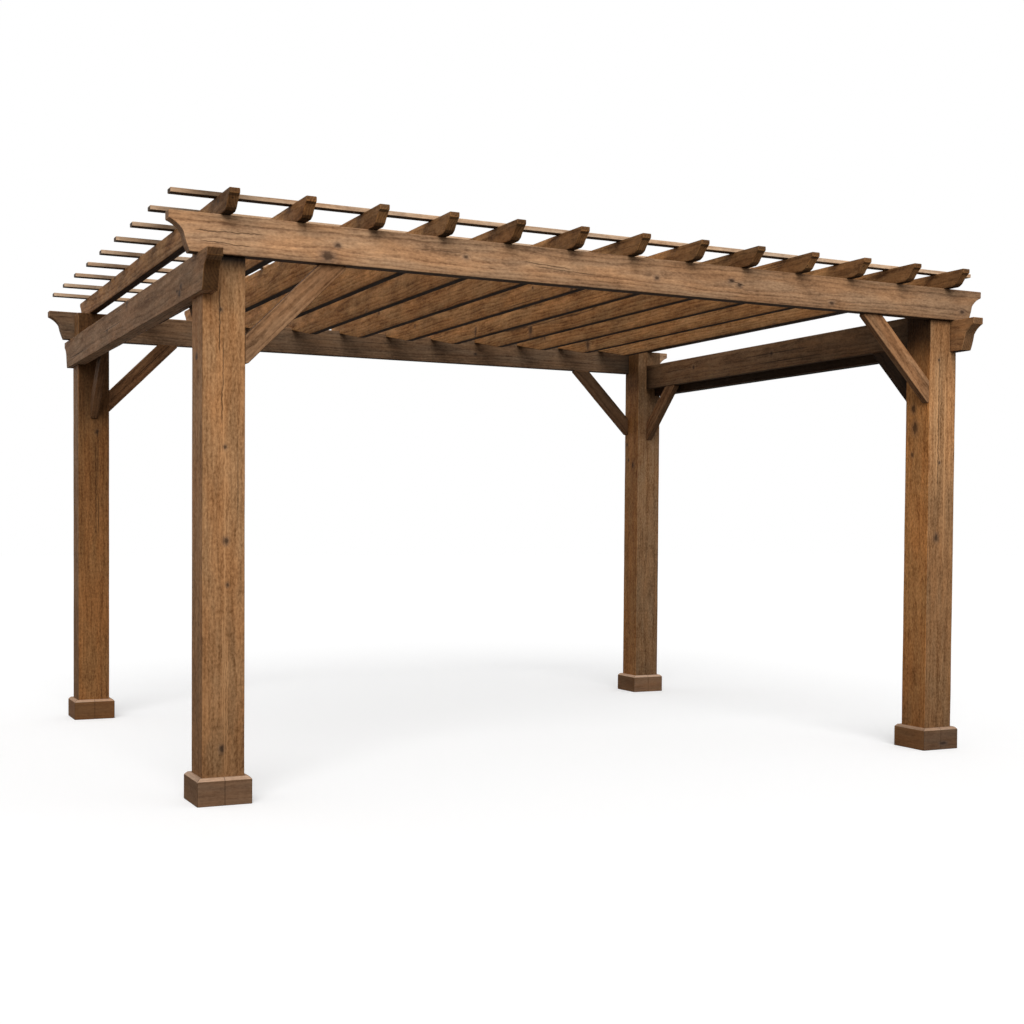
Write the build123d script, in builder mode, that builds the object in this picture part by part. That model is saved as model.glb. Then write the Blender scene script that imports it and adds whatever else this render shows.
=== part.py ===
"""Wooden pergola: posts, housed beams with shaped tails, side rails, knee braces, seated rafters and slats.

Millimetres, +Z up. X runs along the long front beam and Y from front to back.
The origin is on the ground, at the middle of the four posts.
"""
import math
import os

from build123d import *

os.makedirs("parts", exist_ok=True)

# Plan of the frame, from post centre to post centre
post_spacing_x = 3210
post_spacing_y = 2470

# Square posts and the trim boxed round each foot
post_size = 150
trim_thickness = 22
trim_height = 97
trim_bevel = 10

# Beams: two long ones at front and back, two side ones just below them
beam_thickness = 55
beam_height = 135
beam_proud = 20
long_beam_bottom = 1892
long_beam_overhang = 120
side_beam_overhang = 140

# Side rails, butted between the posts a little above the undersides of the side beams
rail_thickness = 40
rail_height = 135
rail_lift = 37

# Knee braces at 45 degrees, blunt at both tips
brace_thickness = 35
brace_width = 75
long_brace_reach = 375
side_brace_reach = 310
brace_nib = 10

# Rafters on edge, cut back underneath at both ends to a seat on the long beams
rafter_count = 13
rafter_thickness = 38
rafter_tail_height = 69
rafter_overhang = 135
heel_depth = 15
rafter_belly = 71
belly_taper = 300
seat_clearance = 1

# Slats laid flat across the rafters
slat_count = 9
slat_width = 44
slat_thickness = 16
slat_overhang = 160
slat_setback = 185

# Shaped tails, as shares of the board's height: lip, inset and drop of the cove, inset of the toe
beam_tail_shares = (0.21, 0.37, 0.29, 0.53)
rafter_tail_shares = (0.24, 0.62, 0.60, 0.95)
cove_sagitta_share = 0.04
toe_sagitta_share = 0.015

# Places that follow from the sizes above
post_outer_x = (post_spacing_x + post_size) / 2
post_outer_y = (post_spacing_y + post_size) / 2
post_inner_x = (post_spacing_x - post_size) / 2
post_inner_y = (post_spacing_y - post_size) / 2
housing_depth = beam_thickness - beam_proud
beam_outer_x = post_outer_x + beam_proud
beam_outer_y = post_outer_y + beam_proud
side_beam_bottom = long_beam_bottom - beam_height
rail_bottom = side_beam_bottom + rail_lift
long_beam_top = long_beam_bottom + beam_height
post_top = long_beam_top - heel_depth
rafter_top = long_beam_top + rafter_tail_height
seat_heel = beam_outer_y - beam_thickness - seat_clearance
rafter_length = 2 * (post_outer_y + rafter_overhang)
rafter_pitch = post_spacing_x / (rafter_count - 1)
slat_length = post_spacing_x + rafter_thickness + 2 * slat_overhang
slat_row = rafter_length - 2 * slat_setback
slat_pitch = slat_row / (slat_count - 1)
trim_width = post_size + 2 * trim_thickness

x_sides = (("left", -1), ("right", 1))
y_sides = (("front", -1), ("back", 1))


def shaped_board(length, height, tail_shares):
    """Outline of a board on edge: a lip, a cove and a raked toe shape the tail at each end."""
    lip_share, cove_inset_share, cove_drop_share, toe_inset_share = tail_shares
    half_length = length / 2
    lip_bottom = (half_length, height * (1 - lip_share))
    cove_bottom = (half_length - height * cove_inset_share, lip_bottom[1] - height * cove_drop_share)
    toe = (half_length - height * toe_inset_share, 0)
    with BuildSketch() as board:
        with BuildLine():
            Polyline((0, 0), toe)
            SagittaArc(toe, cove_bottom, -height * toe_sagitta_share)
            SagittaArc(cove_bottom, lip_bottom, height * cove_sagitta_share)
            Polyline(lip_bottom, (half_length, height), (0, height), (0, 0))
        make_face()
        mirror(about=Plane.YZ)
    return board.sketch


def belly_outline(belly):
    """Outline of what hangs below a rafter's seat: a heel against each long beam, deepening inwards."""
    with BuildSketch() as outline:
        with BuildLine():
            Polyline(
                (-seat_heel, 0),
                (-seat_heel, -heel_depth),
                (belly_taper - seat_heel, -belly),
                (seat_heel - belly_taper, -belly),
                (seat_heel, -heel_depth),
                (seat_heel, 0),
                close=True,
            )
        make_face()
    return outline.sketch


def brace_outline(brace_reach):
    """Outline of a knee brace in the corner between a post, at x = 0, and a beam or rail, at y = 0."""
    seat = brace_width * math.sqrt(2)
    with BuildSketch() as brace:
        with BuildLine():
            Polyline(
                (0, brace_nib - brace_reach),
                (brace_nib, brace_nib - brace_reach),
                (brace_reach - brace_nib, -brace_nib),
                (brace_reach - brace_nib, 0),
                (brace_reach - seat, 0),
                (0, seat - brace_reach),
                close=True,
            )
        make_face()
    return brace.sketch


# Posts, housed on their outer faces: an open notch for the long beam, a trench for the side beam below it
for y_name, y_sign in y_sides:
    for x_name, x_sign in x_sides:
        centre_x = x_sign * post_spacing_x / 2
        centre_y = y_sign * post_spacing_y / 2
        housing_offset = (post_size - housing_depth) / 2
        with BuildPart() as post:
            with BuildSketch():
                with Locations((centre_x, centre_y)):
                    Rectangle(post_size, post_size)
            extrude(amount=post_top)
            with BuildSketch(Plane.XY.offset(long_beam_bottom)):
                with Locations((centre_x, centre_y + y_sign * housing_offset)):
                    Rectangle(post_size, housing_depth)
            extrude(amount=post_top - long_beam_bottom, mode=Mode.SUBTRACT)
            with BuildSketch(Plane.XY.offset(side_beam_bottom)):
                with Locations((centre_x + x_sign * housing_offset, centre_y)):
                    Rectangle(housing_depth, post_size)
            extrude(amount=beam_height, mode=Mode.SUBTRACT)
        post.part.label = f"post_{y_name}_{x_name}"
        export_step(post.part, f"parts/post_{y_name}_{x_name}.step")

        # Trim boxed round the foot, bevelled along its upper outer edge
        with BuildPart() as trim:
            with BuildSketch():
                with Locations((centre_x, centre_y)):
                    Rectangle(trim_width, trim_width)
            extrude(amount=trim_height)
            chamfer(trim.faces().sort_by(Axis.Z)[-1].edges(), trim_bevel)
            with BuildSketch():
                with Locations((centre_x, centre_y)):
                    Rectangle(post_size, post_size)
            extrude(amount=trim_height, mode=Mode.SUBTRACT)
        trim.part.label = f"base_trim_{y_name}_{x_name}"
        export_step(trim.part, f"parts/base_trim_{y_name}_{x_name}.step")

# Side beams, let into the outer faces of the posts under the long beams
for x_name, x_sign in x_sides:
    with BuildPart() as side_beam:
        with BuildSketch(Plane.YZ.offset(x_sign * beam_outer_x)):
            with Locations((0, side_beam_bottom)):
                add(shaped_board(2 * (post_outer_y + side_beam_overhang), beam_height, beam_tail_shares))
        extrude(amount=-x_sign * beam_thickness)
    side_beam.part.label = f"{x_name}_side_beam"
    export_step(side_beam.part, f"parts/{x_name}_side_beam.step")

# Long beams, let into the front and back faces of the posts
for y_name, y_sign in y_sides:
    with BuildPart() as long_beam:
        with BuildSketch(Plane.XZ.offset(-y_sign * beam_outer_y)):
            with Locations((0, long_beam_bottom)):
                add(shaped_board(2 * (post_outer_x + long_beam_overhang), beam_height, beam_tail_shares))
        extrude(amount=y_sign * beam_thickness)
    long_beam.part.label = f"{y_name}_beam"
    export_step(long_beam.part, f"parts/{y_name}_beam.step")

# Side rails between the posts, on the posts' centre lines
for x_name, x_sign in x_sides:
    with BuildPart() as rail:
        with BuildSketch(Plane.XY.offset(rail_bottom)):
            with Locations((x_sign * post_spacing_x / 2, 0)):
                Rectangle(rail_thickness, 2 * post_inner_y)
        extrude(amount=rail_height)
    rail.part.label = f"{x_name}_side_rail"
    export_step(rail.part, f"parts/{x_name}_side_rail.step")

# Knee braces: under the long beams, flush with the posts' outer faces, and centred under the side rails
for y_name, y_sign in y_sides:
    for x_name, x_sign in x_sides:
        long_corner = Plane(
            origin=(x_sign * post_inner_x, y_sign * post_outer_y, long_beam_bottom),
            x_dir=(-x_sign, 0, 0),
            z_dir=(0, x_sign, 0),
        )
        with BuildPart() as long_brace:
            with BuildSketch(long_corner):
                add(brace_outline(long_brace_reach))
            extrude(amount=-x_sign * y_sign * brace_thickness)
        long_brace.part.label = f"{y_name}_{x_name}_beam_brace"
        export_step(long_brace.part, f"parts/{y_name}_{x_name}_beam_brace.step")

        side_corner = Plane(
            origin=(x_sign * post_spacing_x / 2, y_sign * post_inner_y, rail_bottom),
            x_dir=(0, -y_sign, 0),
            z_dir=(-y_sign, 0, 0),
        )
        with BuildPart() as side_brace:
            with BuildSketch(side_corner):
                add(brace_outline(side_brace_reach))
            extrude(amount=brace_thickness / 2, both=True)
        side_brace.part.label = f"{y_name}_{x_name}_side_brace"
        export_step(side_brace.part, f"parts/{y_name}_{x_name}_side_brace.step")

# Rafters: the shaped board that rests on both long beams, and the belly below it that fits between them
# The first and last one also bear on the post tops, so they get no deeper than their heels
for index in range(rafter_count):
    rafter_x = (index - (rafter_count - 1) / 2) * rafter_pitch
    belly = heel_depth if index in (0, rafter_count - 1) else rafter_belly
    with BuildPart() as rafter:
        with BuildSketch(Plane.YZ.offset(rafter_x - rafter_thickness / 2)):
            with Locations((0, long_beam_top)):
                add(shaped_board(rafter_length, rafter_tail_height, rafter_tail_shares))
                add(belly_outline(belly))
        extrude(amount=rafter_thickness)
    rafter.part.label = f"rafter_{index + 1:02d}"
    export_step(rafter.part, f"parts/rafter_{index + 1:02d}.step")

# Slats across the rafters, laid flat
for index in range(slat_count):
    slat_y = (index - (slat_count - 1) / 2) * slat_pitch
    with BuildPart() as slat:
        with BuildSketch(Plane.XY.offset(rafter_top)):
            with Locations((0, slat_y)):
                Rectangle(slat_length, slat_width)
        extrude(amount=slat_thickness)
    slat.part.label = f"slat_{index + 1}"
    export_step(slat.part, f"parts/slat_{index + 1}.step")
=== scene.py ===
from math import radians

import bmesh
import bpy
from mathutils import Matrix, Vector, noise


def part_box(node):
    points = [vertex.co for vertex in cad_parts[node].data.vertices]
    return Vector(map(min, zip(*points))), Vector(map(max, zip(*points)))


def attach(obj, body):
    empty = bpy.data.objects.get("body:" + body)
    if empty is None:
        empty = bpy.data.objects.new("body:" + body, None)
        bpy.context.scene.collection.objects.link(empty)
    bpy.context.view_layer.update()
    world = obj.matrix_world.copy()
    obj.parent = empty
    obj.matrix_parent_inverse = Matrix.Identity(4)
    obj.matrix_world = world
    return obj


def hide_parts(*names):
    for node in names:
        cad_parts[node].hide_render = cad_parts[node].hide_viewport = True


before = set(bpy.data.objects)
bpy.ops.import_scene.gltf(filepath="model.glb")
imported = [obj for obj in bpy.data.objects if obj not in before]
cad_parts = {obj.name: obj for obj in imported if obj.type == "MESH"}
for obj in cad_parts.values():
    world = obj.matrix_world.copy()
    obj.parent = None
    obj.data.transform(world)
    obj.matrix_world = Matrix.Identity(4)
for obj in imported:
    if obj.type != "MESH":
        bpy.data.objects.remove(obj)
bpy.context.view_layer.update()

# Posts: four square cedar posts, sawn from the heart of the log and brushed with a brown stain.
# They are notched near the top for the beams, their arrises are eased,
# and the long faces are never quite flat.
x_axis, y_axis, z_axis = Vector((1, 0, 0)), Vector((0, 1, 0)), Vector((0, 0, 1))
no_knot_near = 99.0


def wire(tree, kind, feeds=None, **settings):
    """Adds a shader node, sets it up, and feeds its inputs from other sockets or plain values."""
    node = tree.nodes.new("ShaderNode" + kind)
    for name, value in settings.items():
        setattr(node, name, value)
    for key, feed in (feeds or {}).items():
        if isinstance(feed, bpy.types.NodeSocket):
            tree.links.new(feed, node.inputs[key])
        else:
            node.inputs[key].default_value = feed
    return node


def calc(tree, operation, a, b=0.0, c=0.0):
    """One sum on values, as a socket."""
    return wire(tree, "Math", {0: a, 1: b, 2: c}, operation=operation).outputs[0]


def spread(tree, value, low, high, to_low=0.0, to_high=1.0):
    """A value eased from one range into another, as a socket."""
    feeds = {"Value": value, "From Min": low, "From Max": high, "To Min": to_low, "To Max": to_high}
    return wire(tree, "MapRange", feeds, interpolation_type="SMOOTHSTEP").outputs["Result"]


def tint(tree, share, under, over, blend="MIX"):
    """One colour laid over another by a share, as a socket."""
    mix = wire(tree, "Mix", {0: share, 6: under, 7: over}, data_type="RGBA", blend_type=blend)
    return mix.outputs[2]


def streaks(tree, grain, along, across, detail=3.0, rough=0.55):
    """Noise drawn out along the grain, in waves per metre along and across it."""
    place = wire(tree, "VectorMath", {0: grain, 1: (along, across, across)}, operation="MULTIPLY")
    feeds = {"Vector": place.outputs[0], "Scale": 1.0, "Detail": detail, "Roughness": rough}
    return wire(tree, "TexNoise", feeds, noise_dimensions="3D").outputs["Fac"]


def swing(tree, field, width):
    """A noise field as a swing to either side of nothing, this wide in all."""
    return calc(tree, "MULTIPLY_ADD", field, width, -width / 2)


def make_cedar_figure():
    """Figure of a cedar board: growth rings about a wandering heart, fibres, knots and end grain."""
    tree = bpy.data.node_groups.new("cedar_figure", "ShaderNodeTree")
    colours = ("Early wood", "Late wood", "Knot")
    values = ("Ring width", "Knot share", "Saw marks", "Ring contrast", "Speckle", "Blotches",
              "Knot reach", "Check", "Pale streak")
    for name in colours:
        tree.interface.new_socket(name, in_out="INPUT", socket_type="NodeSocketColor")
    for name in values:
        tree.interface.new_socket(name, in_out="INPUT", socket_type="NodeSocketFloat")
    tree.interface.new_socket("Color", in_out="OUTPUT", socket_type="NodeSocketColor")
    for name in ("Roughness", "Height"):
        tree.interface.new_socket(name, in_out="OUTPUT", socket_type="NodeSocketFloat")
    given = tree.nodes.new("NodeGroupInput").outputs
    grain = wire(tree, "Attribute", attribute_name="grain").outputs["Vector"]
    worn = wire(tree, "Attribute", attribute_name="finish").outputs["Vector"]
    worn = wire(tree, "SeparateXYZ", {0: worn}).outputs
    end_grain, arris = worn[0], worn[1]

    along, across, through = wire(tree, "SeparateXYZ", {0: grain}).outputs
    heart_distance = calc(tree, "SQRT", calc(tree, "MULTIPLY_ADD", across, across,
                                             calc(tree, "MULTIPLY", through, through)))
    heart_angle = calc(tree, "ARCTAN2", through, across)

    # Knots are branches that run out from the heart, so they keep their place along the board and round it.
    branches_per_metre = 11.0
    branch_place = wire(tree, "CombineXYZ", {0: calc(tree, "MULTIPLY", along, branches_per_metre),
                                             1: heart_angle}).outputs[0]
    branch = wire(tree, "TexVoronoi", {"Vector": branch_place, "Scale": 1.0}, voronoi_dimensions="2D")
    branch_draw = wire(tree, "SeparateColor", {0: branch.outputs["Color"]}).outputs
    is_knot = calc(tree, "LESS_THAN", branch_draw[0], given["Knot share"])
    knot_size = spread(tree, branch_draw[1], 0.0, 1.0, to_low=0.07, to_high=0.20)
    knot_reach = calc(tree, "DIVIDE", branch.outputs["Distance"], knot_size)
    knot_reach = calc(tree, "MULTIPLY_ADD", calc(tree, "SUBTRACT", 1.0, is_knot), no_knot_near, knot_reach)
    knot_reach = calc(tree, "MINIMUM", knot_reach, given["Knot reach"])
    ragged_edge = swing(tree, streaks(tree, grain, along=90.0, across=130.0), 1.2)
    knot_reach = calc(tree, "ADD", knot_reach, ragged_edge)
    knot = spread(tree, knot_reach, 1.35, 0.45)
    knot_halo = spread(tree, knot_reach, 2.6, 0.6, to_high=0.45)
    knot_swell = spread(tree, knot_reach, 3.4, 0.6, to_high=0.005)

    # The heart wanders, so the rings come out as arches and ovals on a flat face.
    wander = swing(tree, streaks(tree, grain, along=0.9, across=3.0, detail=2.0), 0.044)
    waver = swing(tree, streaks(tree, grain, along=7.0, across=26.0), 0.010)
    ring_place = calc(tree, "ADD", calc(tree, "ADD", heart_distance, wander),
                      calc(tree, "ADD", waver, knot_swell))
    ring_count = calc(tree, "DIVIDE", ring_place, given["Ring width"])
    ring = calc(tree, "FRACT", ring_count)
    ring_number = calc(tree, "FLOOR", ring_count)
    ring_draw = wire(tree, "TexWhiteNoise", {"W": ring_number}, noise_dimensions="1D").outputs[0]
    late = calc(tree, "MULTIPLY", spread(tree, ring, 0.35, 0.88), spread(tree, ring, 1.0, 0.90))
    late = calc(tree, "MULTIPLY", late, spread(tree, ring_draw, 0.0, 1.0, to_low=0.35))

    # Finer marks of the wood, each at its own scale
    fibre = streaks(tree, grain, along=20.0, across=130.0, rough=0.7)
    speckle = streaks(tree, grain, along=75.0, across=135.0, detail=2.0, rough=0.6)
    streak = streaks(tree, grain, along=2.4, across=42.0, rough=0.6)
    cloud = streaks(tree, grain, along=4.5, across=13.0, detail=4.0, rough=0.6)
    mottle = streaks(tree, grain, along=16.0, across=38.0, rough=0.6)
    saw = streaks(tree, grain, along=60.0, across=9.0, rough=0.65)
    fleck = streaks(tree, grain, along=30.0, across=130.0, detail=2.0, rough=0.6)
    fleck = spread(tree, fleck, 0.37, 0.29)
    split = streaks(tree, grain, along=0.8, across=70.0, detail=2.0, rough=0.5)
    split = calc(tree, "MAXIMUM", spread(tree, split, 0.300, 0.265), given["Check"])

    # Depth of colour about the middle between early and late wood
    middle_depth, fleck_depth = 0.46, 0.20
    deepest, palest = 1.05, -0.35
    depth = calc(tree, "MULTIPLY_ADD", fleck, fleck_depth, middle_depth)
    for field, middle, weight in (
        (late, 0.2, given["Ring contrast"]),
        (fibre, 0.5, 1.1),
        (speckle, 0.5, given["Speckle"]),
        (streak, 0.5, 0.6),
        (mottle, 0.5, 0.6),
        (cloud, 0.5, given["Blotches"]),
        (saw, 0.5, given["Saw marks"]),
    ):
        depth = calc(tree, "MULTIPLY_ADD", calc(tree, "SUBTRACT", field, middle), weight, depth)
    depth = calc(tree, "MAXIMUM", calc(tree, "MINIMUM", depth, deepest), palest)
    wood = wire(tree, "Mix", {0: depth, 6: given["Early wood"], 7: given["Late wood"]},
                data_type="RGBA", clamp_factor=False).outputs[2]

    # The stain takes unevenly: foxy in one place, greyer in the next.
    foxy, greyer = (1.05, 0.97, 0.88, 1.0), (0.97, 1.01, 1.05, 1.0)
    uneven_tone = spread(tree, streaks(tree, grain, along=3.2, across=16.0, rough=0.6), 0.32, 0.68)
    wood = tint(tree, 1.0, wood, tint(tree, uneven_tone, foxy, greyer), "MULTIPLY")

    # Marks over the stain: pale streaks, knots in a grey halo, splits, end grain, and arrises rubbed lighter
    pale_lift, pale_cover = 1.25, 0.55
    halo_grey = (0.10, 0.096, 0.092, 1.0)
    pale = wire(tree, "VectorMath", {0: given["Early wood"], "Scale": pale_lift}, operation="SCALE")
    wood = tint(tree, calc(tree, "MULTIPLY", given["Pale streak"], pale_cover), wood, pale.outputs[0])
    wood = tint(tree, knot_halo, wood, tint(tree, 0.5, given["Late wood"], halo_grey))
    for mark, cover in ((knot, 0.75), (split, 0.75), (end_grain, 0.45)):
        wood = tint(tree, calc(tree, "MULTIPLY", mark, cover), wood, given["Knot"])
    rubbed = spread(tree, streaks(tree, grain, along=12.0, across=30.0), 0.45, 0.65, to_high=0.4)
    wood = tint(tree, calc(tree, "MULTIPLY", arris, rubbed), wood, given["Early wood"])
    # The stain and shade layers multiply the colour by the stain's own tone and also by painted light and
    # shade, laid on each side and along each board.
    stain_and_shade = wire(tree, "Attribute", attribute_name="stain_and_shade").outputs["Fac"]
    shade = wire(tree, "Attribute", attribute_name="shade").outputs["Vector"]
    shade = wire(tree, "VectorMath", {0: shade, "Scale": stain_and_shade}, operation="SCALE").outputs[0]
    wood = tint(tree, 1.0, wood, shade, "MULTIPLY")

    smoothest, rougher_when_deep = 0.62, 0.18
    fibre_height, late_height, split_height = 0.6, -0.3, -1.6
    height = calc(tree, "MULTIPLY_ADD", fibre, fibre_height, calc(tree, "MULTIPLY", late, late_height))
    height = calc(tree, "MULTIPLY_ADD", split, split_height, height)
    out = tree.nodes.new("NodeGroupOutput").inputs
    tree.links.new(wood, out["Color"])
    tree.links.new(calc(tree, "MULTIPLY_ADD", depth, rougher_when_deep, smoothest), out["Roughness"])
    tree.links.new(height, out["Height"])
    return tree


cedar_figure = make_cedar_figure()


def grain_place(seed, heart, along, across, through):
    """A point of a board, from its middle, in the grain of the log; each seed is another stretch of log."""
    stretch = 4.37
    return Vector((along + seed * stretch, across - heart[0], through - heart[1]))


def grain_lines(tree, grain, lines):
    """Share of thin lines that follow the grain, each given by both its ends in the grain and its width."""
    if not lines:
        return 0.0
    core_share, fade_in, fade_out = 0.3, 0.03, 0.05
    whole_depth, last_depth = 0.01, 0.02
    along, across, through = wire(tree, "SeparateXYZ", {0: grain}).outputs
    waver = swing(tree, streaks(tree, grain, along=24.0, across=0.0), 0.014)
    every_line = 0.0
    for start, end, width in lines:
        lean = wire(tree, "MapRange", {"Value": along, "From Min": start.x, "From Max": end.x,
                                       "To Min": start.y, "To Max": end.y}).outputs["Result"]
        aside = calc(tree, "ABSOLUTE", calc(tree, "SUBTRACT", across, calc(tree, "ADD", lean, waver)))
        inside = calc(tree, "ABSOLUTE", calc(tree, "SUBTRACT", through, start.z))
        line = spread(tree, aside, width, width * core_share)
        for limit in (spread(tree, inside, last_depth, whole_depth),
                      spread(tree, along, start.x, start.x + fade_in),
                      spread(tree, along, end.x, end.x - fade_out)):
            line = calc(tree, "MULTIPLY", line, limit)
        every_line = calc(tree, "MAXIMUM", every_line, line)
    return every_line


def stained_cedar(name, early, late, knot, ring_width=0.011, knot_share=0.05, saw_marks=0.3,
                  ring_contrast=0.40, speckle=1.0, blotches=1.0, knots=(), checks=(), pale_streaks=()):
    """A finish of stained cedar: its own colours on the shared figure.

    knots are places in the grain, each with a size. checks, which are drying cracks, and pale streaks
    are lines in the grain.
    """
    knot_oval, sheen, relief, relief_strength = 0.7, 0.12, 0.0016, 0.6
    finish = bpy.data.materials.new(name)
    finish.use_nodes = True
    tree = finish.node_tree
    grain = wire(tree, "Attribute", attribute_name="grain").outputs["Vector"]
    reach = no_knot_near
    for place, size in knots:
        sizing = (knot_oval / size, 1 / size, 1 / size)
        away = wire(tree, "VectorMath", {0: grain, 1: place}, operation="SUBTRACT").outputs[0]
        away = wire(tree, "VectorMath", {0: away, 1: sizing}, operation="MULTIPLY").outputs[0]
        away = wire(tree, "VectorMath", {0: away}, operation="LENGTH").outputs["Value"]
        reach = calc(tree, "MINIMUM", reach, away)
    figure = wire(tree, "Group", {
        "Early wood": (*early, 1),
        "Late wood": (*late, 1),
        "Knot": (*knot, 1),
        "Ring width": ring_width,
        "Knot share": knot_share,
        "Saw marks": saw_marks,
        "Ring contrast": ring_contrast,
        "Speckle": speckle,
        "Blotches": blotches,
        "Knot reach": reach,
        "Check": grain_lines(tree, grain, checks),
        "Pale streak": grain_lines(tree, grain, pale_streaks),
    }, node_tree=cedar_figure).outputs
    bump = wire(tree, "Bump", {"Strength": relief_strength, "Distance": relief, "Height": figure["Height"]})
    surface = tree.nodes["Principled BSDF"].inputs
    surface["Specular IOR Level"].default_value = sheen
    tree.links.new(figure["Color"], surface["Base Color"])
    tree.links.new(figure["Roughness"], surface["Roughness"])
    tree.links.new(bump.outputs["Normal"], surface["Normal"])
    return finish


def shade_of(tone):
    """A side's tone, given as how light and how foxy it is, as a colour to multiply with.
    It holds the stain's tone and also painted light and shade; the foxiness partly stands for warm light
    bounced onto inner faces.
    """
    light, foxy = tone
    green_loss, blue_loss = 0.12, 0.30
    return Vector((light, light * (1 - green_loss * foxy), light * (1 - blue_loss * foxy)))


def along_stops(stops, share):
    """The value at a share of the way, from stops of share and value."""
    if share <= stops[0][0]:
        return stops[0][1]
    for (start, low), (end, high) in zip(stops, stops[1:]):
        if share <= end:
            return low + (high - low) * (share - start) / (end - start)
    return stops[-1][1]


def side_of(facing):
    """The side of a timber that a face belongs to, from the way it faces."""
    square_on, raked, nearly_down, rising = -0.8, -0.6, -0.93, 0.3
    if facing.z < nearly_down:
        return "under"
    if facing.z > rising:
        return "bevel"
    if facing.x < square_on:
        return "left"
    if facing.y < square_on:
        return "front"
    return "cove" if facing.y < raked else "rest"


def dress_timber(node, finish, along, up, seed, heart, tones, stains_and_shade=None,
                 rise=((0.0, 1.0), (1.0, 1.0)), seams=(), arris=0.003):
    """A copy of a packed timber with eased arrises, slightly uneven faces, and its grain laid along it.

    along and up are the directions of the grain and of the board's width. heart is where the log's heart
    lies from the middle of the board, across its width and its thickness, in metres. tones are colours to
    multiply on the under, bevel, left, front and cove sides and on the rest: the stain's own tone and also
    painted light and shade, with sides painted lighter or darker as light falls on them. The stops along the
    board, on the left and front sides and on the rest, and rise across it, change the colour for uneven
    stain and also as painted shade and painted light, such as painted shadows under beams and near joints.
    seams are planes through the middle where boards meet; with them the grain runs round the box.
    """
    along, up = Vector(along).normalized(), Vector(up).normalized()
    seams = [Vector(seam).normalized() for seam in seams]
    tones = {"rest": (1.0, 0.0), **tones}
    stains_and_shade = {"rest": ((0.0, 1.0), (1.0, 1.0)), **(stains_and_shade or {})}
    low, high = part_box(node)
    middle = (low + high) / 2
    same_place, on_plane = 1e-5, 1e-6
    flat, sharp = radians(1), radians(25)
    shape = bmesh.new()
    shape.from_mesh(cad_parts[node].data)
    bmesh.ops.remove_doubles(shape, verts=shape.verts, dist=same_place)
    bmesh.ops.dissolve_limit(shape, angle_limit=flat, verts=shape.verts, edges=shape.edges)
    worn = shape.faces.layers.float_vector.new("finish")
    shade = shape.faces.layers.float_vector.new("shade")
    grain = shape.loops.layers.float_vector.new("grain")
    uneven_tone = shape.verts.layers.float.new("stain_and_shade")

    corners = [e for e in shape.edges if e.is_convex and e.calc_face_angle(0) > sharp]
    eased = bmesh.ops.bevel(shape, geom=corners, offset=arris, segments=2, profile=0.5,
                            affect="EDGES", material=-1, clamp_overlap=True)["faces"]
    for face in eased:
        face[worn] = (0.0, 1.0, 0.0)

    # Cuts give the stain with its painted shade and light, and the unevenness, their vertices: evenly and
    # at each stop along the board, and at the stops alone over its width.
    short_slice, no_slice = 0.12, 9.0
    stain_and_shade_stops = [stop for stops in stains_and_shade.values() for stop, value in stops]
    rise_stops = [stop for stop, value in rise]
    spans, cuts = [], []
    for axis, stops, slice_length in ((along, stain_and_shade_stops, short_slice), (up, rise_stops, no_slice)):
        reach = [(v.co - middle).dot(axis) for v in shape.verts]
        first, length = min(reach), max(reach) - min(reach)
        spans.append((axis, first, length))
        slices = max(1, int(length / slice_length))
        shares = [cut / slices for cut in range(1, slices)] + [stop for stop in stops if 0 < stop < 1]
        cuts += [(axis, first + length * share) for share in shares]
    seam_width, seam_shade = 0.0011, 0.35
    cuts += [(seam, offset) for seam in seams for offset in (-seam_width, 0.0, seam_width)]
    for axis, offset in cuts:
        bmesh.ops.bisect_plane(shape, geom=shape.verts[:] + shape.edges[:] + shape.faces[:], dist=on_plane,
                               plane_co=middle + axis * offset, plane_no=axis)
    shape.normal_update()

    for face in shape.faces:
        facing, from_middle = face.normal, face.calc_center_median() - middle
        in_seam = any(abs(from_middle.dot(seam)) < seam_width for seam in seams)
        tone = tones.get(side_of(facing), tones["rest"])
        face[shade] = shade_of(tone) * (seam_shade if in_seam else 1.0)
        run = y_axis if seams and abs(from_middle.x) > abs(from_middle.y) else along
        if face[worn][1] < 0.5:
            end_grain = abs(facing.dot(run)) * 2 - 0.6
            face[worn] = (min(1.0, max(0.0, end_grain)), 0.0, 0.0)
        for loop in face.loops:
            place = loop.vert.co - middle
            loop[grain] = grain_place(seed, heart, place.dot(run), place.dot(up), place.dot(run.cross(up)))

    skin, unevenness, waves_per_metre = 0.002, 0.0009, 6.0
    drift = Vector((seed * 7.3, seed * 3.1, seed * 5.7))
    # Each vertex takes the stops along and across the board: uneven stain together with painted shade and
    # painted light.
    for vert in shape.verts:
        side = "left" if vert.co.x < low.x + skin else "front" if vert.co.y < low.y + skin else "rest"
        shares = [((vert.co - middle).dot(axis) - first) / length for axis, first, length in spans]
        vert[uneven_tone] = along_stops(stains_and_shade.get(side, stains_and_shade["rest"]), shares[0]) * along_stops(rise, shares[1])
        if any(abs((vert.co - middle).dot(seam)) < same_place for seam in seams):
            vert.co -= vert.normal * seam_width
        sway = noise.noise_vector(vert.co * waves_per_metre + drift) * unevenness
        moved = vert.co + sway - along * sway.dot(along)
        vert.co = [min(max(place, least), most) for place, least, most in zip(moved, low, high)]
    for face in shape.faces:
        face.smooth = True
    mesh = bpy.data.meshes.new(node + "_timber")
    shape.to_mesh(mesh)
    shape.free()
    piece = bpy.data.objects.new(node + "_timber", mesh)
    bpy.context.scene.collection.objects.link(piece)
    mesh.materials.append(finish)
    piece.modifiers.new("flat_faces", "WEIGHTED_NORMAL")
    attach(piece, "root")
    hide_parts(node)


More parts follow.
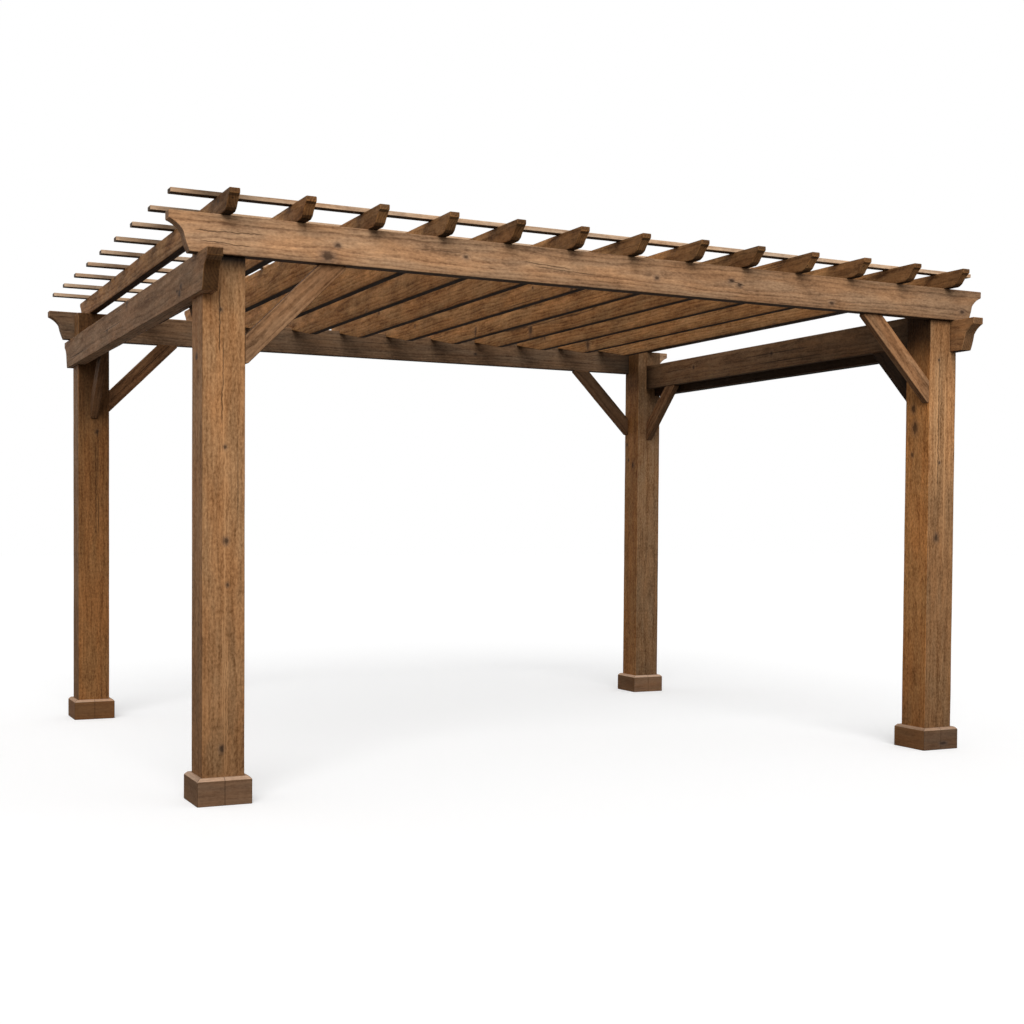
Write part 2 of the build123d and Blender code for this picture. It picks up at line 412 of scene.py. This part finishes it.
# Knots by post, place along, across and through it from its middle, and size
post_heart = (0.012, -0.008)
post_face = -0.075
post_knots = (
    (1, 0.230, 0.004, post_face, 0.005),
    (1, -0.245, 0.013, post_face, 0.005),
    (1, -0.812, -0.006, post_face, 0.008),
    (1, -0.093, 0.008, post_face, 0.008),
    (1, 0.700, -0.012, post_face, 0.005),
    (2, 0.416, post_face, 0.014, 0.017),
    (2, 0.500, post_face, 0.026, 0.012),
    (2, 0.297, post_face, 0.030, 0.008),
    (2, 0.260, -0.012, post_face, 0.005),
    (2, -0.070, -0.025, post_face, 0.011),
    (2, 0.710, -0.023, post_face, 0.005),
    (3, 0.421, 0.015, post_face, 0.008),
    (4, 0.462, post_face, 0.050, 0.007),
    (4, 0.371, post_face, 0.030, 0.007),
)

# Lines on the front of the posts by post, lower and upper end, place across and width
post_checks = (
    (1, 0.540, 0.800, -0.016, 0.0030),
    (1, 0.300, 0.470, -0.007, 0.0024),
    (1, 0.420, 0.620, -0.003, 0.0020),
    (2, 0.150, 0.740, -0.020, 0.0020),
    (2, 0.300, 0.640, -0.008, 0.0014),
    (3, -0.100, 0.380, 0.010, 0.0025),
)
post_pale_streaks = (
    (1, -0.900, 0.250, 0.004, 0.0036),
    (1, -0.900, -0.420, 0.012, 0.0032),
    (1, -0.720, -0.330, -0.003, 0.0030),
    (1, 0.180, 0.560, -0.001, 0.0034),
    (2, -0.200, 0.640, 0.016, 0.0050),
    (2, 0.100, 0.700, -0.030, 0.0045),
)


def post_lines(lines):
    """Lines on the front of the posts, with their ends in the grain."""
    return [(grain_place(post, post_heart, lower, across, post_face),
             grain_place(post, post_heart, upper, across, post_face), width)
            for post, lower, upper, across, width in lines]


post_finish = stained_cedar(
    "stained_post", (0.46, 0.242, 0.107), (0.180, 0.082, 0.030), (0.035, 0.018, 0.009),
    knot_share=0.02, ring_contrast=0.26, speckle=1.75,
    knots=[(grain_place(post, post_heart, *place), size) for post, *place, size in post_knots],
    checks=post_lines(post_checks), pale_streaks=post_lines(post_pale_streaks))
# Tones by side of each post: the stain's tone and also painted light and shade, each side lighter or darker
# as light falls on it, and warmer where light is bounced onto an inner face.
post_tones = {
    "front_left": {"rest": (0.92, 0.1), "left": (0.75, 0.3)},
    "front_right": {"rest": (0.87, -0.1), "left": (1.30, 1.2)},
    "back_left": {"rest": (0.625, 1.2), "left": (0.56, 0.3)},
    "back_right": {"rest": (0.76, -0.8), "left": (0.95, 1.0)},
}
# Every post is darker towards the foot.
darker_towards_foot = ((0.0, 0.70), (0.45, 1.0), (1.0, 1.0))
# Stops up the faces of each post: darker towards the foot, a painted shadow of the front beam across the top
# of the front left post, the tops of the other posts painted darker as shade under the beams and braces, and
# lighter bands as painted light.
post_stains_and_shade = {
    "front_left": {
        "front": ((0.0, 0.55), (0.09, 0.65), (0.17, 0.82), (0.45, 1.02), (0.845, 1.12), (0.883, 1.0),
                  (0.900, 0.80), (0.914, 0.58), (0.924, 0.28), (0.934, 0.04), (1.0, 0.01)),
    },
    "front_right": {
        "front": ((0.0, 0.55), (0.17, 0.70), (0.33, 0.77), (0.49, 0.95), (0.57, 1.06), (0.65, 1.28),
                  (0.73, 1.38), (0.81, 1.2), (0.89, 0.95), (0.928, 0.85), (0.941, 0.3), (1.0, 0.3)),
        "left": ((0.0, 0.50), (0.09, 0.58), (0.17, 0.74), (0.30, 0.90), (0.45, 1.03), (0.70, 1.05),
                 (0.75, 1.15), (0.80, 1.0), (0.87, 0.38), (0.90, 0.12), (1.0, 0.05)),
    },
    "back_left": {
        "front": ((0.0, 1.0), (0.15, 1.1), (0.25, 1.06), (0.35, 1.0), (0.50, 0.96), (0.60, 0.87),
                  (0.70, 0.82), (0.77, 0.45), (0.84, 0.38), (1.0, 0.38)),
    },
    "back_right": {
        "front": ((0.0, 0.55), (0.07, 0.60), (0.15, 0.80), (0.33, 0.90), (0.49, 1.12), (0.65, 1.34),
                  (0.72, 1.20), (0.79, 0.93), (0.85, 0.76), (1.0, 0.70)),
        "left": ((0.0, 0.80), (0.45, 1.0), (0.86, 1.0), (0.90, 0.6), (1.0, 0.4)),
    },
}
for post, (corner, tones) in enumerate(post_tones.items(), start=1):
    dress_timber("post_" + corner, post_finish, z_axis, x_axis, seed=post, heart=post_heart,
                 tones=tones, stains_and_shade={"rest": darker_towards_foot, **post_stains_and_shade[corner]}, arris=0.004)

# Base trims: short cedar boards boxed round the foot of each post and nailed on, mitred at the corners,
# in halves at the front and back, bevelled along the top and stained a shade darker than the posts.
trim_finish = stained_cedar(
    "stained_trim", (0.185, 0.103, 0.056), (0.105, 0.055, 0.029), (0.03, 0.016, 0.009),
    knot_share=0.02, ring_contrast=0.2)
trim_heart = (0.0, 0.12)
trim_seams = ((1, 1, 0), (1, -1, 0), (1, 0, 0))
# Tones of the front and the left side of each trim: the stain's tone and also painted light and shade. The
# top bevel is painted lighter and greyer, as a painted highlight from above.
painted_bevel_highlight, bevel_foxy = 2.9, -1.4
trim_tones = {
    "front_left": ((0.97, -0.1), (0.98, 0.5)),
    "front_right": ((0.71, -0.2), (1.15, 1.3)),
    "back_left": ((0.90, 1.4), (1.0, 0.8)),
    "back_right": ((1.25, 0.0), (1.0, 0.8)),
}
for seed, (corner, (tone, left_tone)) in enumerate(trim_tones.items(), start=11):
    dress_timber("base_trim_" + corner, trim_finish, x_axis, z_axis, seed, heart=trim_heart,
                 tones={"rest": tone, "left": left_tone, "bevel": (tone[0] * painted_bevel_highlight, bevel_foxy)},
                 seams=trim_seams, arris=0.0025)

# Side beams and rails: on each side a cedar plank on edge with shaped tails, let into the outer faces
# of the posts, and inside it a plain rail butted between the posts.
side_heart = (0.02, 0.07)
left_beam_seed, left_beam_face = 21, -0.0275

# Knots on the left beam by place along and across it from its middle, and size
side_knots = (
    (-1.078, -0.012, 0.010),
    (-1.056, -0.034, 0.012),
    (-1.020, -0.022, 0.007),
    (0.303, -0.007, 0.006),
)
beam_finish = stained_cedar(
    "stained_beam", (0.52, 0.302, 0.160), (0.185, 0.098, 0.050), (0.04, 0.021, 0.012),
    ring_width=0.010, knot_share=0.03,
    knots=[(grain_place(left_beam_seed, side_heart, along, across, left_beam_face), size)
           for along, across, size in side_knots])
# The left beam's underside is painted lighter, as painted light thrown up from the floor.
dress_timber("left_side_beam", beam_finish, y_axis, z_axis, left_beam_seed, heart=side_heart,
             tones={"rest": (0.52, 0.6), "front": (0.32, 1.6), "cove": (0.32, 1.6), "under": (0.90, 0.0)})
# The right beam's inner face behind its front tail and its underside are painted near black, as painted shade
# under the rail and the roof.
dress_timber("right_side_beam", beam_finish, y_axis, z_axis, seed=22, heart=side_heart,
             tones={"rest": (0.80, 0.8), "left": (0.78, 0.9), "under": (0.1, 0.0)},
             stains_and_shade={"left": ((0.0, 0.85), (0.02, 1.15), (0.045, 0.95), (0.06, 0.145), (1.0, 0.145))})
# The rails' undersides are painted darker as shade, and the right rail's inner face is painted darker towards
# both posts as painted shade.
dress_timber("left_side_rail", beam_finish, y_axis, z_axis, seed=25, heart=side_heart,
             tones={"rest": (0.50, 0.6), "under": (0.3, 0.0)})
dress_timber("right_side_rail", beam_finish, y_axis, z_axis, seed=26, heart=side_heart,
             tones={"rest": (0.63, 0.4), "under": (0.3, 0.0)},
             stains_and_shade={"left": ((0.0, 0.25), (0.08, 0.5), (0.26, 0.75), (0.40, 0.84), (0.50, 1.0), (0.60, 1.12),
                              (0.72, 1.18), (0.83, 1.03), (0.90, 1.0), (0.97, 0.5), (1.0, 0.15))})

# Long beams: the front and back cedar planks, let into the faces of the posts over the side beams.
# The front one has a few small knots and has checked in drying, most of all near its left end.
beam_heart = (0.01, 0.085)
front_seed, front_face = 31, 0.0275

# Knots by place along and across the beam from its middle, and size
front_knots = (
    (-1.240, -0.041, 0.015),
    (-1.203, 0.001, 0.0075),
    (-0.707, 0.002, 0.007),
    (0.117, -0.007, 0.007),
    (0.470, 0.010, 0.008),
    (0.510, -0.004, 0.007),
    (0.976, -0.042, 0.008),
    (1.691, -0.028, 0.008),
)

# Checks by left and right end along the beam, the place of each end across it, and width
front_checks = (
    (-1.720, -1.600, 0.009, 0.003, 0.0030),
    (-1.650, -1.450, 0.008, 0.010, 0.0022),
    (-1.700, -1.500, -0.027, -0.036, 0.0018),
    (-0.480, -0.250, 0.006, -0.006, 0.0020),
    (-0.420, -0.150, -0.008, -0.020, 0.0016),
    (0.440, 0.560, 0.016, -0.012, 0.0022),
)
front_finish = stained_cedar(
    "stained_front_beam", (0.52, 0.302, 0.162), (0.190, 0.101, 0.053), (0.04, 0.021, 0.012),
    ring_width=0.010, knot_share=0.01,
    knots=[(grain_place(front_seed, beam_heart, along, across, front_face), size)
           for along, across, size in front_knots],
    checks=[(grain_place(front_seed, beam_heart, left, start, front_face),
             grain_place(front_seed, beam_heart, right, end, front_face), width)
            for left, right, start, end, width in front_checks])
# The front beam is painted lighter at the left and darker towards the right, as painted light falling off,
# and darker along its top and bottom edges and on its underside, as painted shade.
dress_timber("front_beam", front_finish, x_axis, z_axis, front_seed, heart=beam_heart,
             tones={"rest": (1.06, 0.1), "under": (0.35, 0.0)},
             stains_and_shade={"rest": ((0.0, 1.04), (0.12, 1.04), (0.45, 0.85), (0.90, 0.76), (1.0, 0.64))},
             rise=((0.0, 0.76), (0.14, 0.90), (0.32, 1.07), (0.62, 1.06), (1.0, 0.80)))
# The back beam's front face and underside are painted darker as shade under the roof, darker still near both
# posts as painted shadow, and lighter on its right tail beyond the post as painted light.
dress_timber("back_beam", beam_finish, x_axis, z_axis, seed=32, heart=beam_heart,
             tones={"rest": (0.80, 0.2), "front": (0.46, -0.4), "under": (0.3, 0.0)},
             stains_and_shade={"front": ((0.0, 0.7), (0.05, 0.7), (0.08, 1.0), (0.45, 0.85), (0.86, 0.88), (0.90, 0.50),
                               (0.925, 0.18), (0.955, 0.3), (0.965, 1.8), (1.0, 1.8))})

# Knee braces: eight short cedar struts at 45 degrees, blunt at both tips and nailed through,
# between the posts and the long beams or the side rails.
brace_finish = stained_cedar(
    "stained_brace", (0.48, 0.258, 0.128), (0.165, 0.078, 0.034), (0.045, 0.020, 0.010), knot_share=0.02)
brace_heart = (0.03, 0.05)
beam_brace_seed, side_brace_seed = 41, 51
beam_brace_stain = ((0.0, 0.92), (0.25, 1.10), (0.55, 1.05), (0.8, 0.92), (1.0, 0.96))
# Tones of each brace: the stain's tone and also painted light and shade; sides turned from the light are
# darker, and the front right side brace is painted near black as shade.
brace_tones = {
    "front_left": {"beam_rest": (0.40, 0.2), "beam_front": (0.65, 0.2), "side_left": (0.45, 0.0)},
    "front_right": {"beam_rest": (0.7, 0.2), "beam_front": (0.88, 0.3), "side_left": (0.10, 0.0)},
    "back_left": {"beam_rest": (0.7, 0.2), "beam_front": (0.47, 0.5), "side_left": (0.35, 0.0)},
    "back_right": {"beam_rest": (0.7, 0.2), "beam_front": (0.31, -0.3), "side_left": (0.80, 0.4)},
}
for count, (corner, tone) in enumerate(brace_tones.items()):
    lean_x = 1 if corner.endswith("left") else -1
    lean_y = 1 if corner.startswith("front") else -1
    dress_timber(corner + "_beam_brace", brace_finish, (lean_x, 0, 1), (-lean_x, 0, 1),
                 beam_brace_seed + count, heart=brace_heart,
                 tones={"rest": tone["beam_rest"], "front": tone["beam_front"]},
                 stains_and_shade={"front": beam_brace_stain})
    dress_timber(corner + "_side_brace", brace_finish, (0, lean_y, 1), (0, -lean_y, 1),
                 side_brace_seed + count, heart=brace_heart,
                 tones={"rest": (0.45, 0.2), "left": tone["side_left"]})

# Rafters: thirteen cedar boards on edge, seated on the long beams and nailed, with shaped tails
# that are darker than the rest of them. Their sides still show the marks of the saw.
rafter_finish = stained_cedar(
    "stained_rafter", (0.46, 0.238, 0.098), (0.140, 0.062, 0.022), (0.045, 0.022, 0.010),
    ring_width=0.009, knot_share=0.06, saw_marks=0.35, speckle=0.8, blotches=1.7)
rafter_seed = 61
rafter_stains = {
    "rest": ((0.0, 0.55), (0.055, 0.62), (0.10, 1.0), (0.90, 1.0), (0.945, 0.62), (1.0, 0.55)),
    "left": ((0.0, 0.48), (0.055, 0.56), (0.10, 1.0), (1.0, 1.0)),
}
# The rafters are painted darker towards their lower edge, as painted shade.
rafter_rise = ((0.0, 0.78), (0.15, 0.97), (0.40, 1.04), (1.0, 1.0))
rafter_names = sorted(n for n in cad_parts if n.startswith("rafter_"))
for count, name in enumerate(rafter_names):
    side_step, end_step, heart_step = count * 5 % 4, count * 3 % 4, count % 5
    # The left sides of all but the first rafter are painted lighter and their end faces lighter still, as
    # painted light, and their undersides near black, as painted shade.
    side_light = 1.08 + 0.06 * side_step if count else 0.78
    dress_timber(name, rafter_finish, y_axis, z_axis, rafter_seed + count,
                 heart=(0.03 - 0.005 * heart_step, 0.06),
                 tones={"rest": (0.75, 0.2), "left": (side_light, 0.3), "front": (1.0 + 0.12 * end_step, 0.4),
                        "cove": (1.5 + 0.25 * end_step, 0.4), "under": (0.18, 0.0)},
                 stains_and_shade=rafter_stains, rise=rafter_rise)

# Slats: nine slim cedar strips laid flat across the rafters and nailed down.
# Their front edges have darkened towards the left end, the first few most of all.
slat_finish = stained_cedar(
    "stained_slat", (0.64, 0.455, 0.300), (0.37, 0.235, 0.145), (0.08, 0.042, 0.025), knot_share=0.01)
slat_seed, slat_heart = 81, (0.05, 0.03)
darkest_slats, darkest_end, lighter_step = 3, 0.28, 0.05
slat_names = sorted(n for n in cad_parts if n.startswith("slat_"))
for count, name in enumerate(slat_names):
    dark_end = darkest_end + lighter_step * max(0, count - darkest_slats)
    front_edge_darkening = ((0.0, dark_end), (0.05, dark_end), (0.09, 0.8), (0.14, 1.05), (1.0, 1.08))
    # The slats' undersides are painted near black, as painted shade.
    dress_timber(name, slat_finish, x_axis, y_axis, slat_seed + count, heart=slat_heart,
                 tones={"left": (0.25, 0.0), "under": (0.14, 0.0)}, stains_and_shade={"front": front_edge_darkening}, arris=0.002)

# Studio: a plain pale floor that keeps the shadow, under a white dome and a wide, soft key light
# from above and in front. The floor glows a little to the camera and throws little light back up.
floor_half_width = 40.0
floor_seen, floor_thrown_back = (0.70, 0.70, 0.70, 1), (0.18, 0.18, 0.18, 1)
floor_glow = 0.34
floor_shape = bmesh.new()
bmesh.ops.create_grid(floor_shape, x_segments=1, y_segments=1, size=floor_half_width)
floor_mesh = bpy.data.meshes.new("studio_floor")
floor_shape.to_mesh(floor_mesh)
floor_shape.free()
floor = bpy.data.objects.new("studio_floor", floor_mesh)
bpy.context.scene.collection.objects.link(floor)
floor_finish = bpy.data.materials.new("pale_floor")
floor_finish.use_nodes = True
tree = floor_finish.node_tree
surface = tree.nodes["Principled BSDF"]
by_camera = wire(tree, "LightPath").outputs["Is Camera Ray"]
tree.links.new(tint(tree, by_camera, floor_thrown_back, floor_seen), surface.inputs["Base Color"])
surface.inputs["Roughness"].default_value = 1.0
surface.inputs["Specular IOR Level"].default_value = 0.0
glow_seen = calc(tree, "MULTIPLY", by_camera, floor_glow)
glow = wire(tree, "Emission", {"Color": (1, 1, 1, 1), "Strength": glow_seen})
both = wire(tree, "AddShader", {0: surface.outputs[0], 1: glow.outputs[0]})
tree.links.new(both.outputs[0], tree.nodes["Material Output"].inputs["Surface"])
floor_mesh.materials.append(floor_finish)

dome_strength = 0.6
world = bpy.data.worlds.new("studio")
world.use_nodes = True
bpy.context.scene.world = world
tree = world.node_tree
background = tree.nodes["Background"].inputs
seen = wire(tree, "LightPath").outputs
shown = calc(tree, "MAXIMUM", seen["Is Glossy Ray"], seen["Is Transmission Ray"])
shown = calc(tree, "MAXIMUM", seen["Is Camera Ray"], shown)
tree.links.new(calc(tree, "MULTIPLY_ADD", shown, 1 - dome_strength, dome_strength), background["Strength"])
background["Color"].default_value = (1, 1, 1, 1)

key_direction = Vector((0.30, 0.78, -0.55))
key = bpy.data.lights.new("key", "SUN")
key.energy = 2.35
key.angle = radians(45)
key_object = bpy.data.objects.new("key", key)
key_object.rotation_euler = key_direction.to_track_quat("-Z", "Y").to_euler()
bpy.context.scene.collection.objects.link(key_object)

# Camera: the view of the photograph, from about a metre above the floor, in front of the frame
# and to the left of it, with a slightly long lens that is shifted up to keep the posts upright.
tilt_down, roll, turn_right = 1.571, -0.416, 26.053
camera = bpy.data.cameras.new("camera")
camera.sensor_width = 36.0
camera.lens = 51.14
camera.shift_y = 0.0549
camera_object = bpy.data.objects.new("camera", camera)
camera_object.location = (-2.9149, -6.2494, 0.9636)
camera_object.rotation_euler = (radians(90 - tilt_down), radians(roll), radians(-turn_right))
bpy.context.scene.collection.objects.link(camera_object)
bpy.context.scene.camera = camera_object
bpy.context.scene.view_settings.view_transform = "Standard"
